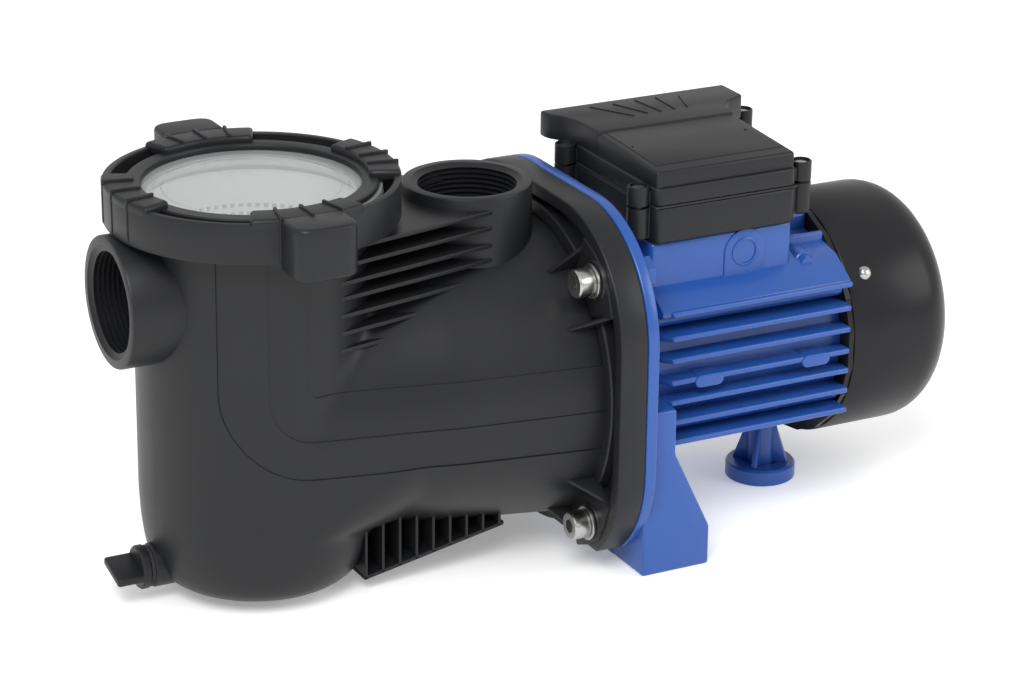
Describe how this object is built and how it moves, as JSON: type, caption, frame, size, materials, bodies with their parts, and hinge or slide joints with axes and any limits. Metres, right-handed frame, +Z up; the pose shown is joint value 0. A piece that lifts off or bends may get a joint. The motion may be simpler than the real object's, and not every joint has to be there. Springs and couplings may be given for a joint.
{
  "type": "pool pump",
  "caption": "Self-priming pool pump: a strainer pot with clear lid and locking ring, a ribbed volute with threaded ports, and a finned motor with terminal box and fan cover.",
  "frame": {"origin": "on the floor plane under the middle of the whole pump, on its mid plane", "axes": "+X along the shaft from the suction port to the fan, +Y away from the picture side, +Z up"},
  "size_m": [0.411, 0.172, 0.1945],
  "materials": {
    "black_plastic": "satin moulded plastic",
    "blue_enamel": "glossy enamel on cast aluminium",
    "fan_cover_black": "satin black",
    "stainless_steel": "turned stainless",
    "core_steel": "stacked laminations",
    "copper_wire": "enamelled copper winding",
    "white_plastic": "white moulded plastic",
    "clear_plastic": "clear moulded lid",
    "seal_rubber": "black rubber"
  },
  "bodies": {
    "housing": {"body_bolt_1": "stainless_steel", "body_bolt_2": "stainless_steel", "body_bolt_3": "stainless_steel", "body_bolt_4": "stainless_steel", "body_nut_1": "stainless_steel", "body_nut_2": "stainless_steel", "body_washer_1": "stainless_steel", "body_washer_2": "stainless_steel", "body_washer_3": "stainless_steel", "body_washer_4": "stainless_steel", "box_gasket": "seal_rubber", "box_screw_1": "stainless_steel", "box_screw_2": "stainless_steel", "box_screw_3": "stainless_steel", "box_screw_4": "stainless_steel", "cable_gland": "black_plastic", "capacitor": "white_plastic", "diffuser": "white_plastic", "earth_screw": "stainless_steel", "fan_cover": "fan_cover_black", "fan_cover_screw_1": "stainless_steel", "fan_cover_screw_2": "stainless_steel", "fan_cover_screw_3": "stainless_steel", "flange_gasket": "seal_rubber", "front_bearing": "stainless_steel", "motor_flange": "blue_enamel", "motor_housing": "blue_enamel", "pump_body": "black_plastic", "rear_bearing": "stainless_steel", "rear_foot": "blue_enamel", "rear_foot_bolt": "stainless_steel", "rear_shield": "blue_enamel", "seal_seat": "white_plastic", "stator_core": "core_steel", "strainer_basket": "white_plastic", "terminal_block": "white_plastic", "terminal_box": "black_plastic", "terminal_box_lid": "black_plastic", "tie_rod_1": "stainless_steel", "tie_rod_2": "stainless_steel", "tie_rod_3": "stainless_steel", "tie_rod_4": "stainless_steel", "winding_front": "copper_wire", "winding_rear": "copper_wire"},
    "rotor": {"motor_shaft": "stainless_steel", "rotor_core": "core_steel", "impeller": "white_plastic", "impeller_nut": "stainless_steel", "seal_head": "stainless_steel", "cooling_fan": "black_plastic"},
    "lid": {"strainer_lid": "clear_plastic", "lid_seal": "seal_rubber"},
    "lid_ring": {"lid_ring": "black_plastic"},
    "drain_seal": {"drain_seal": "seal_rubber"},
    "drain_plug": {"drain_plug": "black_plastic"}
  },
  "joints": [
    {"name": "rotor_spin", "type": "hinge", "parent": "housing", "child": "rotor", "pos_m": [0, 0, 0.083], "axis": [1, 0, 0], "continuous": true},
    {"name": "lid_lift", "type": "slide", "parent": "housing", "child": "lid", "axis": [0, 0, 1], "range_m": [0, 0.2]},
    {"name": "ring_turn", "type": "hinge", "parent": "lid", "child": "lid_ring", "pos_m": [-0.1345, 0, 0.18], "axis": [0, 0, 1], "range_deg": [0, 40]},
    {"name": "drain_back", "type": "slide", "parent": "housing", "child": "drain_seal", "axis": [-1, 0, 0], "range_m": [0, 0.0056]},
    {"name": "drain_turn", "type": "hinge", "parent": "drain_seal", "child": "drain_plug", "pos_m": [-0.2025, 0, 0.016], "axis": [-1, 0, 0], "range_deg": [0, 1440]}
  ],
  "couplings": [
    {"joint": "drain_back", "follows": "drain_turn", "m_per_rad": 0.00021327}
  ]
}
